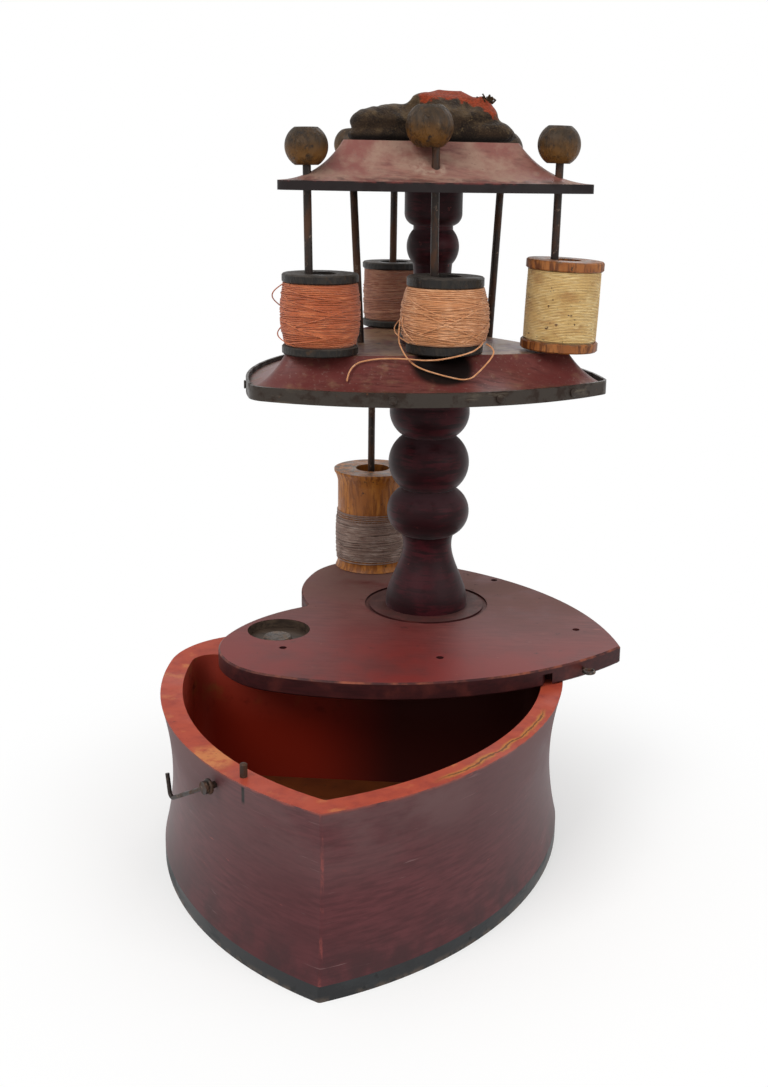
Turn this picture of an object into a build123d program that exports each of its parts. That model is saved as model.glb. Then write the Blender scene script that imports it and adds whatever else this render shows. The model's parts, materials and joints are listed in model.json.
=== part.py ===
from build123d import *

import os
from math import acos, cos, degrees, hypot, radians, sin, sqrt

# Painted wooden sewing stand: a heart-shaped box, a heart-shaped lid that swings on a
# peg, and a turned post on the lid with two tiers, iron spindles and thread spools.
# Millimetres. Origin at the middle of the box on its underside, tip of the heart
# towards -Y, +Z up. What stands on the lid is placed as with the lid shut, and then
# swung open about the peg.

# Heart outline, shared by box, lid and base board
LOBE_X = 41.8
LOBE_Y = 40.6
LOBE_R = 31.4
CROWN_R = 63.9
FLANK_R = 123.1
POINT_R = 1.5

# Box
BASE_T = 5.3
RIM_Z = 59.8
WAIST_Z = 37.5
WAIST_DEPTH = 3.6
FOOT_INSET = 0.6
FOOT_FLANK_R = 129.3
FLOOR_Z = 10.6
WALL_T = 7.7
CAVITY_CORNER_R = 7.4

# Nails that hold the base board, seen from below
BASE_NAIL_R = 1.0
BASE_NAIL_HEAD_R = 2.2
BASE_NAIL_HEAD_T = 0.8
BASE_NAIL_L = 18.0
BASE_NAIL_ANGLES = (-15.0, -45.0)

# Lid, its peg and its swing
LID_GAP = 0.2
LID_T = 6.6
LID_EDGE = 0.6
OPEN_ANGLE = 75.6
PEG_FROM_LOBE = 6.3
PEG_FROM_CROWN = 18.0
PEG_R = 4.0
PEG_DEPTH = 26.0
PEG_HEAD_R = 5.6
PEG_HEAD_T = 2.6
PEG_HEAD_EDGE = 0.6
RUNNING_CLEARANCE = 0.05
HEAD_GAP = 0.3
RECESS_R = 12.0
RECESS_DEPTH = 3.4
RECESS_DX = 5.2
RECESS_DY = 1.8

# Rim pin and the groove under the lid's edge that takes it when the lid is shut
RIM_PIN_ANGLE = -50.0
RIM_PIN_INSET = 3.6
RIM_PIN_R = 1.2
RIM_PIN_H = 4.4
RIM_PIN_DEPTH = 10.0
STOP_GAP = 0.3
STOP_GROOVE_SWEEP = 8.0

# Hook on the left flank, its nail and the eye in the lid's edge
HOOK_ANGLE = 44.3
HOOK_Z = 53.5
HOOK_WALL_INSET = 1.2
HOOK_WIRE_R = 0.7
HOOK_RING_GAP = 0.1
HOOK_ARM = 27.8
HOOK_TIP = 8.5
HOOK_REST = 210.0
HOOK_TIP_ANGLE = 102.0
HOOK_BEND_R = 1.6
HOOK_STANDOFF = 2.4
HOOK_NAIL_R = 1.1
HOOK_NAIL_HEAD_R = 2.1
HOOK_NAIL_HEAD_T = 1.0
HOOK_NAIL_DEPTH = 5.0
EYE_ALONG = 25.2
EYE_WIRE_R = 0.6
EYE_RING_R = 1.9
EYE_DEPTH = 7.0

# Spindles and the empty spindle holes of the lid, placed with the lid shut
SPINDLE_R = 1.5
EMPTY_HOLE_R = 1.4
EMPTY_HOLES = ((-47.3, 46.3), (-35.8, -11.5), (11.6, -52.2), (59.9, -5.5))
LOWER_SPINDLE_XY = (62.4, 53.1)
LOWER_SPINDLE_FOOT = 5.0
LOWER_SPINDLE_HEAD = 4.0

# Posts
POST_X = 20.7
POST_Y = 12.7
TENON_R = 7.0
TENON_L = 5.6
FOOT_R = 16.7
FOOT_H = 1.6
VASE_R = 12.9
VASE_MID_H = 14.4
VASE_WAIST_R = 9.9
VASE_WAIST_H = 24.6
BEAD_NECK_R = 10.6
BEAD_R = 16.6
BEAD_START_H = 30.2
BEAD_H = 18.9
SECOND_BEAD_R = 16.2
SECOND_BEAD_H = 21.6
CUP_NECK_R = 10.4
CUP_SHOULDER_H = 6.4
CUP_R = 15.6
RING_OUTER_R = 25.2
RING_INNER_R = 23.4
RING_DEPTH = 0.8
CAP_R = 11.2
CAP_H = 12.0
CAP_NECK_R = 7.7
CAP_NECK_H = 3.0
UPPER_BEAD_R = 10.2
UPPER_BEAD_H = 13.0
UPPER_VASE_R = 8.0
UPPER_FOOT_R = 12.4
UPPER_FOOT_H = 3.0

# Tiers
MID_X = 18.8
MID_Y = 19.0
MID_Z = 159.5
MID_EDGE_T = 3.5
MID_T = 15.0
MID_CORNER = 76.4
MID_SIDE = 59.7
MID_CORNER_R = 9.0
MID_TIP_R = 5.0
MID_FLAT_CORNER = 64.0
MID_FLAT_SIDE = 36.0
MID_FLAT_R = 4.0
MID_COVE_IN = 0.60
MID_COVE_UP = 0.42
BAND_T = 1.0
BAND_H = 5.2
BAND_NAIL_R = 0.7
BAND_NAIL_HEAD_R = 1.6
BAND_NAIL_HEAD_T = 0.7
BAND_NAIL_L = 8.0
BAND_NAIL_Z = 2.5
BAND_NAIL_ANGLES = (-9.7, 10.1, 26.3)
TOP_X = 19.3
TOP_Y = 17.1
TOP_Z = 233.5
TOP_EDGE_T = 3.4
TOP_T = 17.8
TOP_CORNER = 68.3
TOP_SIDE = 43.0
TOP_CORNER_R = 4.0
TOP_FLAT_CORNER = 40.0
TOP_FLAT_SIDE = 19.6
TOP_FLAT_R = 2.0
TOP_COVE_IN = 0.58
TOP_COVE_UP = 0.28

# Lifting spindles: foot in the middle tier and place in the top tier with the lid
# shut, height of the knob's middle over the underside of the top tier, radius of the
# knob, and how far the knob sits to the right of its wire
SPINDLE_SEAT = 8.0
SPINDLE_SEAT_GAP = 0.3
KNOB_FLAT = 1.2
KNOB_BORE = 8.0
SPINDLES = {
    "left": ((-27.2, 43.7), (-27.4, 44.7), 15.2, 7.8, 0.0),
    "left_rear": ((9.3, 38.1), (19.2, 45.3), 16.4, 6.8, 0.0),
    "rear": ((65.7, 45.3), (65.8, 45.1), 15.4, 7.8, 0.0),
    "right_rear": ((50.5, -2.6), (51.2, -5.4), 15.6, 7.8, 0.0),
    "right": ((18.6, -35.6), (18.8, -36.5), 17.5, 8.0, -0.6),
    "front": ((-4.7, 3.5), (-4.8, 3.8), 23.1, 8.7, -2.4),
}

# Spools: each stands beside its spindle as far as its bore lets it, to the right in
# the open stand. Distance from the spindle, lean in degrees, flange radius, height,
# flange thickness, radius of the thread at its foot, its fullest place and its top,
# and how far up the fullest place lies
SPOOL_GAP = 0.3
SPOOL_BORE_R = 6.0
SPOOL_EDGE = 0.5
BARREL_R = 8.0
SPOOLS = {
    "left": (3.7, 0.0, 14.0, 29.2, 3.2, (13.2, 14.7, 13.8), 0.5),
    "front": (4.1, 0.0, 14.4, 28.2, 3.8, (15.2, 16.7, 14.6), 0.4),
    "rear": (0.5, 0.0, 13.4, 27.2, 2.8, (12.6, 13.1, 12.8), 0.4),
    "right": (3.3, 2.4, 14.7, 33.7, 3.6, (13.9, 14.0, 13.9), 0.5),
}

# Lower spool: a plain bobbin with a thin lip and thread round its lower half
LOWER_HANG = 0.6
LOWER_BORE_R = 7.4
LOWER_H = 44.2
LOWER_LIP_R = 17.0
LOWER_LIP_T = 0.9
LOWER_NECK_H = 5.0
LOWER_BODY_R = 15.3
LOWER_FOOT_R = 16.2
LOWER_FOOT_H = 3.4
LOWER_THREAD_FOOT = 3.6
LOWER_THREAD_HEAD = 26.3
LOWER_THREAD_T = (0.6, 0.9, 0.4)

# Pincushion: outlines from its seat to its crown. Share of the seat's size, height
# and shift to the right
CUSHION_CORNER = 41.0
CUSHION_SIDE = 18.0
CUSHION_CORNER_R = 4.5
CUSHION_LEVELS = (
    (0.88, 0.0, 0.0),
    (0.95, 3.0, 0.3),
    (0.88, 6.5, 0.0),
    (0.79, 9.5, 0.8),
    (0.62, 12.4, 4.6),
    (0.48, 15.4, 7.2),
    (0.32, 18.0, 8.3),
    (0.16, 19.8, 8.4),
)

# Loose thread of the front spool, as it lies in the open stand
CORD_R = 0.42
CORD_BEND_R = 3.0
LOOSE_THREADS = {
    "loose_end": (
        (-8.0, 45.0, 167.1),
        (-8.1, 52.2, 171.9),
        (0.9, 55.8, 173.9),
        (11.8, 56.5, 174.0),
        (21.0, 55.6, 173.5),
        (30.0, 56.0, 175.1),
        (38.2, 60.0, 177.3),
        (39.8, 64.1, 179.7),
    ),
    "loose_loop": (
        (9.0, 65.6, 186.5),
        (8.4, 62.4, 180.7),
        (10.3, 60.0, 176.5),
        (13.4, 57.4, 172.8),
        (17.5, 55.4, 170.6),
        (26.9, 53.8, 168.3),
        (35.2, 53.0, 167.0),
        (39.4, 55.8, 170.5),
        (44.4, 60.0, 176.1),
        (43.0, 63.0, 178.5),
        (41.0, 64.5, 179.1),
    ),
}


def polar(radius, angle):
    """Point at a distance and an angle in degrees from the sketch's origin."""
    return (radius * cos(radians(angle)), radius * sin(radians(angle)))


def heart(grow=0.0, flank_r=FLANK_R):
    """Heart of three tangent arcs a side, moved outwards by grow, tip towards -Y."""
    crown_y = LOBE_Y + LOBE_R - CROWN_R
    flank_x = LOBE_X + LOBE_R - flank_r
    cleft_angle = degrees(acos(-LOBE_X / (CROWN_R + grow)))
    tip_angle = -degrees(acos(-flank_x / (flank_r + grow)))
    with BuildSketch(mode=Mode.PRIVATE) as outline:
        with BuildLine():
            CenterArc((LOBE_X, crown_y), CROWN_R + grow, 90, cleft_angle - 90)
            CenterArc((LOBE_X, LOBE_Y), LOBE_R + grow, 0, 90)
            CenterArc((flank_x, LOBE_Y), flank_r + grow, tip_angle, -tip_angle)
            mirror(about=Plane.YZ)
        make_face()
        fillet([v for v in outline.vertices() if abs(v.X) < POINT_R / 2], POINT_R)
    return outline.sketch


def flank_point(angle, grow=0.0, side=1):
    """Point on the heart's flank, at an angle about the flank's centre."""
    flank_x = LOBE_X + LOBE_R - FLANK_R
    x, y = polar(FLANK_R + grow, angle)
    return (side * (flank_x + x), LOBE_Y + y)


def opened(x, y, z=0.0):
    """Where a point of the shut lid lies with the lid swung open."""
    dx, dy = x - peg_x, y - peg_y
    turn_cos, turn_sin = cos(radians(OPEN_ANGLE)), sin(radians(OPEN_ANGLE))
    return Vector(peg_x + dx * turn_cos - dy * turn_sin, peg_y + dx * turn_sin + dy * turn_cos, z)


def lid_plane(z, x=0.0, y=0.0):
    """Level plane that turns with the lid, in the coordinates of the shut lid."""
    return Plane(origin=opened(x, y, z), x_dir=(*polar(1, OPEN_ANGLE), 0), z_dir=(0, 0, 1))


def profile_plane(frame):
    """Plane of a turned profile: x is the radius, y the height along the frame's axis."""
    return Plane(origin=frame.origin, x_dir=frame.x_dir, z_dir=-frame.y_dir)


def turning_axis(frame):
    """Axis that a turned profile goes round."""
    return Axis(frame.origin, frame.z_dir)


def across(path):
    """Plane across the start of a path, for the section of a wire or a thread."""
    return Plane(origin=path @ 0, z_dir=path % 0)


LID_Z = RIM_Z + LID_GAP
LID_TOP = LID_Z + LID_T
MID_TOP = MID_Z + MID_T
TOP_TOP = TOP_Z + TOP_T
GROOVE_DEPTH = RIM_PIN_H - LID_GAP + STOP_GAP

# The peg stands in the solid wood of the rear left lobe, the pin in the rim
peg_x = PEG_FROM_LOBE - LOBE_X
peg_y = LOBE_Y + LOBE_R - PEG_FROM_CROWN
pin_x, pin_y = flank_point(RIM_PIN_ANGLE, -RIM_PIN_INSET, -1)

# Where the base nails go, in the middle of the wall, and the two in the lobes
base_nail_points = [
    flank_point(angle, -WALL_T / 2, side) for side in (-1, 1) for angle in BASE_NAIL_ANGLES
]
base_nail_points += [(side * LOBE_X, LOBE_Y + LOBE_R - WALL_T) for side in (-1, 1)]

# The hook's plane stands against the left flank: x along the wall towards the tip,
# y up and z straight out of the wall
wall_x, wall_y = flank_point(-HOOK_ANGLE, -HOOK_WALL_INSET, -1)
hook_wall = Plane(
    origin=(wall_x, wall_y, HOOK_Z),
    x_dir=(*polar(1, -90 + HOOK_ANGLE), 0),
    z_dir=(*polar(1, 180 + HOOK_ANGLE), 0),
)
hook_plane = hook_wall.offset(HOOK_STANDOFF)
hook_ring_r = HOOK_NAIL_R + HOOK_RING_GAP + HOOK_WIRE_R

# Base board, the black foot of the box
with BuildPart() as base_board:
    with BuildSketch():
        add(heart(-FOOT_INSET, FOOT_FLANK_R))
    extrude(amount=BASE_T)
    with BuildSketch():
        with Locations(*base_nail_points):
            Circle(BASE_NAIL_HEAD_R)
    extrude(amount=BASE_NAIL_HEAD_T, mode=Mode.SUBTRACT)
    with BuildSketch():
        with Locations(*base_nail_points):
            Circle(BASE_NAIL_R)
    extrude(amount=BASE_T, mode=Mode.SUBTRACT)
base_board.part.label = "base_board"

# Box: three hearts lofted into a waisted side. The cavity follows the flanks and has a
# straight back, which leaves the lobes solid for the peg
with BuildPart() as box_body:
    with BuildSketch(Plane.XY.offset(BASE_T)):
        add(heart(-FOOT_INSET, FOOT_FLANK_R))
    with BuildSketch(Plane.XY.offset(WAIST_Z)):
        add(heart(-WAIST_DEPTH, (2 * FLANK_R + FOOT_FLANK_R) / 3))
    with BuildSketch(Plane.XY.offset(RIM_Z)):
        add(heart())
    loft()
    with BuildSketch(Plane.XY.offset(RIM_Z)) as cavity:
        corner_x = LOBE_X + LOBE_R - WALL_T - CAVITY_CORNER_R
        back_y = LOBE_Y + CAVITY_CORNER_R
        flank_x = LOBE_X + LOBE_R - FLANK_R
        tip_angle = -degrees(acos(-flank_x / (FLANK_R - WALL_T)))
        with BuildLine():
            Line((0, back_y), (corner_x, back_y))
            CenterArc((corner_x, LOBE_Y), CAVITY_CORNER_R, 0, 90)
            CenterArc((flank_x, LOBE_Y), FLANK_R - WALL_T, tip_angle, -tip_angle)
            mirror(about=Plane.YZ)
        make_face()
        fillet(cavity.vertices().sort_by(Axis.Y)[0], POINT_R)
    extrude(amount=FLOOR_Z - RIM_Z, mode=Mode.SUBTRACT)
    with Locations((peg_x, peg_y, RIM_Z)):
        Hole(PEG_R, PEG_DEPTH)
    with Locations((pin_x, pin_y, RIM_Z)):
        Hole(RIM_PIN_R, RIM_PIN_DEPTH)
    with BuildSketch(hook_wall):
        Circle(HOOK_NAIL_R)
    extrude(amount=HOOK_NAIL_DEPTH, both=True, mode=Mode.SUBTRACT)
    with BuildSketch(Plane.XY.offset(BASE_T)):
        with Locations(*base_nail_points):
            Circle(BASE_NAIL_R)
    extrude(amount=BASE_NAIL_L - BASE_T, mode=Mode.SUBTRACT)
box_body.part.label = "box_body"

with BuildPart() as base_nails:
    with BuildSketch():
        with Locations(*base_nail_points):
            Circle(BASE_NAIL_HEAD_R)
    extrude(amount=BASE_NAIL_HEAD_T)
    with BuildSketch():
        with Locations(*base_nail_points):
            Circle(BASE_NAIL_R)
    extrude(amount=BASE_NAIL_L)
base_nails.part.label = "base_nails"

# Peg of the lid: glued into the rear left lobe, its head runs in the lid's recess
with BuildPart() as pivot_peg:
    head_z = LID_TOP - RECESS_DEPTH + HEAD_GAP
    with BuildSketch(Plane.XY.offset(RIM_Z - PEG_DEPTH)):
        with Locations((peg_x, peg_y)):
            Circle(PEG_R)
    extrude(amount=head_z - RIM_Z + PEG_DEPTH)
    with BuildSketch(Plane.XY.offset(head_z)):
        with Locations((peg_x, peg_y)):
            Circle(PEG_HEAD_R)
    extrude(amount=PEG_HEAD_T)
    chamfer(pivot_peg.edges().group_by(Axis.Z)[-1], PEG_HEAD_EDGE)
pivot_peg.part.label = "pivot_peg"

with BuildPart() as rim_pin:
    with BuildSketch(Plane.XY.offset(RIM_Z - RIM_PIN_DEPTH)):
        with Locations((pin_x, pin_y)):
            Circle(RIM_PIN_R)
    extrude(amount=RIM_PIN_DEPTH + RIM_PIN_H)
    chamfer(rim_pin.edges().group_by(Axis.Z)[-1], RIM_PIN_R / 4)
rim_pin.part.label = "rim_pin"

# Hook nail: driven square into the flank, its head keeps the hook's ring on
with BuildPart() as hook_nail:
    head_out = HOOK_STANDOFF + HOOK_WIRE_R + HEAD_GAP
    with BuildSketch(hook_wall.offset(-HOOK_NAIL_DEPTH)):
        Circle(HOOK_NAIL_R)
    extrude(amount=HOOK_NAIL_DEPTH + head_out)
    with BuildSketch(hook_wall.offset(head_out)):
        Circle(HOOK_NAIL_HEAD_R)
    extrude(amount=HOOK_NAIL_HEAD_T)
hook_nail.part.label = "hook_nail"

with BuildPart() as lid_hook:
    elbow_x, elbow_y = polar(HOOK_ARM, HOOK_REST)
    tip_x, tip_y = polar(HOOK_TIP, HOOK_TIP_ANGLE)
    start = polar(hook_ring_r, HOOK_REST)
    tip = (elbow_x + tip_x, elbow_y + tip_y)
    with BuildLine(hook_plane) as hook_line:
        FilletPolyline(start, (elbow_x, elbow_y), tip, radius=HOOK_BEND_R)
    with BuildSketch(across(hook_line.line)):
        Circle(HOOK_WIRE_R)
    sweep()
    with Locations(hook_plane):
        Torus(hook_ring_r, HOOK_WIRE_R)
lid_hook.part.label = "lid_hook"

# Eye: a wire ring on a shank, screwed level into the edge of the lid
eye_z = LID_Z + LID_T / 2
shut_eye = hook_plane.from_local_coords((EYE_ALONG, eye_z - HOOK_Z))
eye_centre = opened(shut_eye.X, shut_eye.Y, eye_z)
eye_inwards = Vector(*polar(1, HOOK_ANGLE + OPEN_ANGLE), 0)
eye_reach = HOOK_STANDOFF - HOOK_WALL_INSET + FLANK_R - sqrt(FLANK_R**2 - EYE_ALONG**2)
eye_shank_plane = Plane(origin=eye_centre + eye_inwards * EYE_RING_R, z_dir=eye_inwards)
eye_shank_l = eye_reach + EYE_DEPTH - EYE_RING_R

with BuildPart() as lid_eye:
    with Locations(eye_centre):
        Torus(EYE_RING_R, EYE_WIRE_R)
    with BuildSketch(eye_shank_plane):
        Circle(EYE_WIRE_R)
    extrude(amount=eye_shank_l)
lid_eye.part.label = "lid_eye"

# Spindle axes: a plane at each foot, its z along the wire
spindle_frames = {}
for name, (foot, head, knob_h, knob_r, knob_side) in SPINDLES.items():
    foot_point = opened(*foot, MID_TOP)
    head_point = opened(*head, TOP_Z)
    spindle_frames[name] = Plane(origin=foot_point, z_dir=head_point - foot_point)

# Lid
with BuildPart() as lid:
    with BuildSketch(lid_plane(LID_Z)):
        add(heart())
    extrude(amount=LID_T)
    chamfer(lid.faces().filter_by(Axis.Z).edges(), LID_EDGE)
    with BuildSketch(lid_plane(LID_TOP)):
        with Locations((peg_x + RECESS_DX, peg_y + RECESS_DY)):
            Circle(RECESS_R)
    extrude(amount=-RECESS_DEPTH, mode=Mode.SUBTRACT)
    with BuildSketch(lid_plane(LID_TOP)):
        with Locations((POST_X, POST_Y)):
            Circle(RING_OUTER_R)
            Circle(RING_INNER_R, mode=Mode.SUBTRACT)
    extrude(amount=-RING_DEPTH, mode=Mode.SUBTRACT)
    with BuildSketch(lid_plane(LID_TOP)):
        with Locations((POST_X, POST_Y)):
            Circle(TENON_R)
    extrude(amount=-TENON_L, mode=Mode.SUBTRACT)
    with BuildSketch(lid_plane(LID_TOP)):
        with Locations(LOWER_SPINDLE_XY):
            Circle(SPINDLE_R)
    extrude(amount=-LOWER_SPINDLE_FOOT, mode=Mode.SUBTRACT)
    with BuildSketch(lid_plane(LID_Z)):
        with Locations((peg_x, peg_y)):
            Circle(PEG_R + RUNNING_CLEARANCE)
        with Locations(*EMPTY_HOLES):
            Circle(EMPTY_HOLE_R)
    extrude(amount=LID_T, mode=Mode.SUBTRACT)
    with BuildSketch(lid_plane(LID_Z)):
        pin_dx, pin_dy = pin_x - peg_x, pin_y - peg_y
        pin_angle = -degrees(acos(pin_dx / hypot(pin_dx, pin_dy)))
        with BuildLine(mode=Mode.PRIVATE) as pin_track:
            CenterArc((peg_x, peg_y), hypot(pin_dx, pin_dy), pin_angle, -STOP_GROOVE_SWEEP)
        SlotArc(pin_track.edge(), 2 * (RIM_PIN_R + STOP_GAP))
    extrude(amount=GROOVE_DEPTH, mode=Mode.SUBTRACT)
    with BuildSketch(eye_shank_plane):
        Circle(EYE_WIRE_R)
    extrude(amount=eye_shank_l, mode=Mode.SUBTRACT)
lid.part.label = "lid"

# Lower post: vase foot, two beads and a cup that carries the middle tier
post_foot = lid_plane(LID_TOP, POST_X, POST_Y)
post_h = MID_Z - LID_TOP
second_bead_start = BEAD_START_H + BEAD_H
cup_start = second_bead_start + SECOND_BEAD_H
with BuildPart() as lower_post:
    with BuildSketch(profile_plane(post_foot)):
        with BuildLine():
            Polyline((0, -TENON_L), (TENON_R, -TENON_L), (TENON_R, 0), (FOOT_R, 0), (FOOT_R, FOOT_H))
            Spline(
                (FOOT_R, FOOT_H),
                (VASE_R, VASE_MID_H),
                (VASE_WAIST_R, VASE_WAIST_H),
                (BEAD_NECK_R, BEAD_START_H),
            )
            ThreePointArc(
                (BEAD_NECK_R, BEAD_START_H),
                (BEAD_R, BEAD_START_H + BEAD_H / 2),
                (BEAD_NECK_R, second_bead_start),
            )
            ThreePointArc(
                (BEAD_NECK_R, second_bead_start),
                (SECOND_BEAD_R, second_bead_start + SECOND_BEAD_H / 2),
                (CUP_NECK_R, cup_start),
            )
            ThreePointArc(
                (CUP_NECK_R, cup_start),
                ((CUP_NECK_R + 2 * CUP_R) / 3, cup_start + CUP_SHOULDER_H / 2),
                (CUP_R, cup_start + 2 * CUP_SHOULDER_H),
            )
            Polyline(
                (CUP_R, cup_start + 2 * CUP_SHOULDER_H),
                (CUP_R, post_h),
                (TENON_R, post_h),
                (TENON_R, post_h + TENON_L),
                (0, post_h + TENON_L),
                (0, -TENON_L),
            )
        make_face()
    revolve(axis=turning_axis(post_foot))
lower_post.part.label = "lower_post"

# Upper post: spreading foot, bead, neck and cap
upper_foot = lid_plane(MID_TOP, POST_X, POST_Y)
upper_h = TOP_Z - MID_TOP
cap_start = upper_h - CAP_H
upper_bead_end = cap_start - CAP_NECK_H
upper_bead_start = upper_bead_end - UPPER_BEAD_H
with BuildPart() as upper_post:
    with BuildSketch(profile_plane(upper_foot)):
        with BuildLine():
            Polyline(
                (0, -TENON_L),
                (TENON_R, -TENON_L),
                (TENON_R, 0),
                (UPPER_FOOT_R, 0),
                (UPPER_FOOT_R, UPPER_FOOT_H),
            )
            Spline(
                (UPPER_FOOT_R, UPPER_FOOT_H),
                (UPPER_VASE_R, (UPPER_FOOT_H + upper_bead_start) / 2),
                (CAP_NECK_R, upper_bead_start),
            )
            ThreePointArc(
                (CAP_NECK_R, upper_bead_start),
                (UPPER_BEAD_R, upper_bead_start + UPPER_BEAD_H / 2),
                (CAP_NECK_R, upper_bead_end),
            )
            Polyline((CAP_NECK_R, upper_bead_end), (CAP_NECK_R, cap_start - CAP_NECK_H / 2))
            ThreePointArc(
                (CAP_NECK_R, cap_start - CAP_NECK_H / 2),
                ((CAP_NECK_R + 2 * CAP_R) / 3, cap_start),
                (CAP_R, cap_start + CAP_NECK_H),
            )
            Polyline(
                (CAP_R, cap_start + CAP_NECK_H),
                (CAP_R, upper_h),
                (TENON_R, upper_h),
                (TENON_R, upper_h + TENON_L),
                (0, upper_h + TENON_L),
                (0, -TENON_L),
            )
        make_face()
    revolve(axis=turning_axis(upper_foot))
upper_post.part.label = "upper_post"


def three_cornered(corner, side, corner_r, tip_r):
    """Rounded three-cornered outline with bulging sides, one corner towards -Y."""
    with BuildSketch(mode=Mode.PRIVATE) as outline:
        with BuildLine():
            for start in (-90, 30, 150):
                ThreePointArc(polar(corner, start), polar(side, start + 60), polar(corner, start + 120))
        make_face()
        fillet(outline.vertices().sort_by(Axis.Y)[-2:], corner_r)
        fillet(outline.vertices().sort_by(Axis.Y)[0], tip_r)
    return outline.sketch


def between(outer, inner, share):
    """Size that lies a share of the way from the outer to the inner one."""
    return outer + (inner - outer) * share


# Nails of the band, square to the bulging sides
half_chord = MID_CORNER * cos(radians(30))
side_rise = MID_SIDE - MID_CORNER * sin(radians(30))
side_r = (half_chord**2 + side_rise**2) / (2 * side_rise)
side_back = side_r - MID_SIDE
band_corner = sqrt((side_r + BAND_T) ** 2 - 0.75 * side_back**2) - side_back / 2
tier_middle = opened(MID_X, MID_Y, MID_Z)
band_nail_planes = []
for side_angle in (-30, 90, 210):
    turned = side_angle + OPEN_ANGLE
    side_middle = tier_middle - Vector(*polar(side_back, turned))
    for angle in BAND_NAIL_ANGLES:
        outwards = Vector(*polar(1, turned + angle))
        place = side_middle + outwards * (side_r + BAND_T) + Vector(0, 0, BAND_NAIL_Z)
        band_nail_planes.append(Plane(origin=place, z_dir=outwards))

# Middle tier: the square edge takes the band, and the slopes are hollowed
with BuildPart() as mid_tier:
    with BuildSketch(lid_plane(MID_Z, MID_X, MID_Y)):
        add(three_cornered(MID_CORNER, MID_SIDE, MID_CORNER_R, MID_TIP_R))
    extrude(amount=MID_EDGE_T)
    mid_rise = MID_T - MID_EDGE_T
    for share_in, share_up in ((0, 0), (MID_COVE_IN, MID_COVE_UP), (1, 1)):
        with BuildSketch(lid_plane(MID_Z + MID_EDGE_T + mid_rise * share_up, MID_X, MID_Y)):
            add(
                three_cornered(
                    between(MID_CORNER, MID_FLAT_CORNER, share_in),
                    between(MID_SIDE, MID_FLAT_SIDE, share_in),
                    between(MID_CORNER_R, MID_FLAT_R, share_in),
                    between(MID_TIP_R, MID_FLAT_R, share_in),
                )
            )
    loft()
    for z, amount in ((MID_Z, TENON_L), (MID_TOP, -TENON_L)):
        with BuildSketch(lid_plane(z, POST_X, POST_Y)):
            Circle(TENON_R)
        extrude(amount=amount, mode=Mode.SUBTRACT)
    with BuildSketch(lid_plane(MID_Z, *LOWER_SPINDLE_XY)):
        Circle(SPINDLE_R)
    extrude(amount=LOWER_SPINDLE_HEAD, mode=Mode.SUBTRACT)
    for frame in spindle_frames.values():
        with BuildSketch(frame.offset(-SPINDLE_SEAT)):
            Circle(SPINDLE_R + RUNNING_CLEARANCE)
        extrude(amount=2 * SPINDLE_SEAT, mode=Mode.SUBTRACT)
    with BuildSketch(*band_nail_planes):
        Circle(BAND_NAIL_R)
    extrude(amount=-BAND_NAIL_L, mode=Mode.SUBTRACT)
mid_tier.part.label = "mid_tier"

# Top tier: the roof board
with BuildPart() as top_tier:
    with BuildSketch(lid_plane(TOP_Z, TOP_X, TOP_Y)):
        add(three_cornered(TOP_CORNER, TOP_SIDE, TOP_CORNER_R, TOP_CORNER_R))
    extrude(amount=TOP_EDGE_T)
    top_rise = TOP_T - TOP_EDGE_T
    for share_in, share_up in ((0, 0), (TOP_COVE_IN, TOP_COVE_UP), (1, 1)):
        with BuildSketch(lid_plane(TOP_Z + TOP_EDGE_T + top_rise * share_up, TOP_X, TOP_Y)):
            add(
                three_cornered(
                    between(TOP_CORNER, TOP_FLAT_CORNER, share_in),
                    between(TOP_SIDE, TOP_FLAT_SIDE, share_in),
                    between(TOP_CORNER_R, TOP_FLAT_R, share_in),
                    between(TOP_CORNER_R, TOP_FLAT_R, share_in),
                )
            )
    loft()
    with BuildSketch(lid_plane(TOP_Z, POST_X, POST_Y)):
        Circle(TENON_R)
    extrude(amount=TENON_L, mode=Mode.SUBTRACT)
    for frame in spindle_frames.values():
        with BuildSketch(frame.offset(TOP_Z - MID_TOP - TOP_T)):
            Circle(SPINDLE_R + RUNNING_CLEARANCE)
        extrude(amount=3 * TOP_T, mode=Mode.SUBTRACT)
top_tier.part.label = "top_tier"


# Iron band, nailed round the middle tier and standing above its slope
with BuildPart() as tier_band:
    with BuildSketch(lid_plane(MID_Z, MID_X, MID_Y)):
        add(three_cornered(band_corner, MID_SIDE + BAND_T, MID_CORNER_R + BAND_T, MID_TIP_R + BAND_T))
        add(three_cornered(MID_CORNER, MID_SIDE, MID_CORNER_R, MID_TIP_R), mode=Mode.SUBTRACT)
    extrude(amount=BAND_H)
    with BuildSketch(*band_nail_planes):
        Circle(BAND_NAIL_R)
    extrude(amount=-2 * BAND_T, mode=Mode.SUBTRACT)
tier_band.part.label = "tier_band"

with BuildPart() as band_nails:
    with BuildSketch(*band_nail_planes):
        Circle(BAND_NAIL_HEAD_R)
    extrude(amount=BAND_NAIL_HEAD_T)
    chamfer(band_nails.edges().filter_by(GeomType.CIRCLE), BAND_NAIL_HEAD_T / 3)
    with BuildSketch(*band_nail_planes):
        Circle(BAND_NAIL_R)
    extrude(amount=-BAND_NAIL_L)
band_nails.part.label = "band_nails"

with BuildPart() as lower_spindle:
    with BuildSketch(lid_plane(LID_TOP - LOWER_SPINDLE_FOOT)):
        with Locations(LOWER_SPINDLE_XY):
            Circle(SPINDLE_R)
    extrude(amount=MID_Z - LID_TOP + LOWER_SPINDLE_FOOT + LOWER_SPINDLE_HEAD)
lower_spindle.part.label = "lower_spindle"

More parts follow.
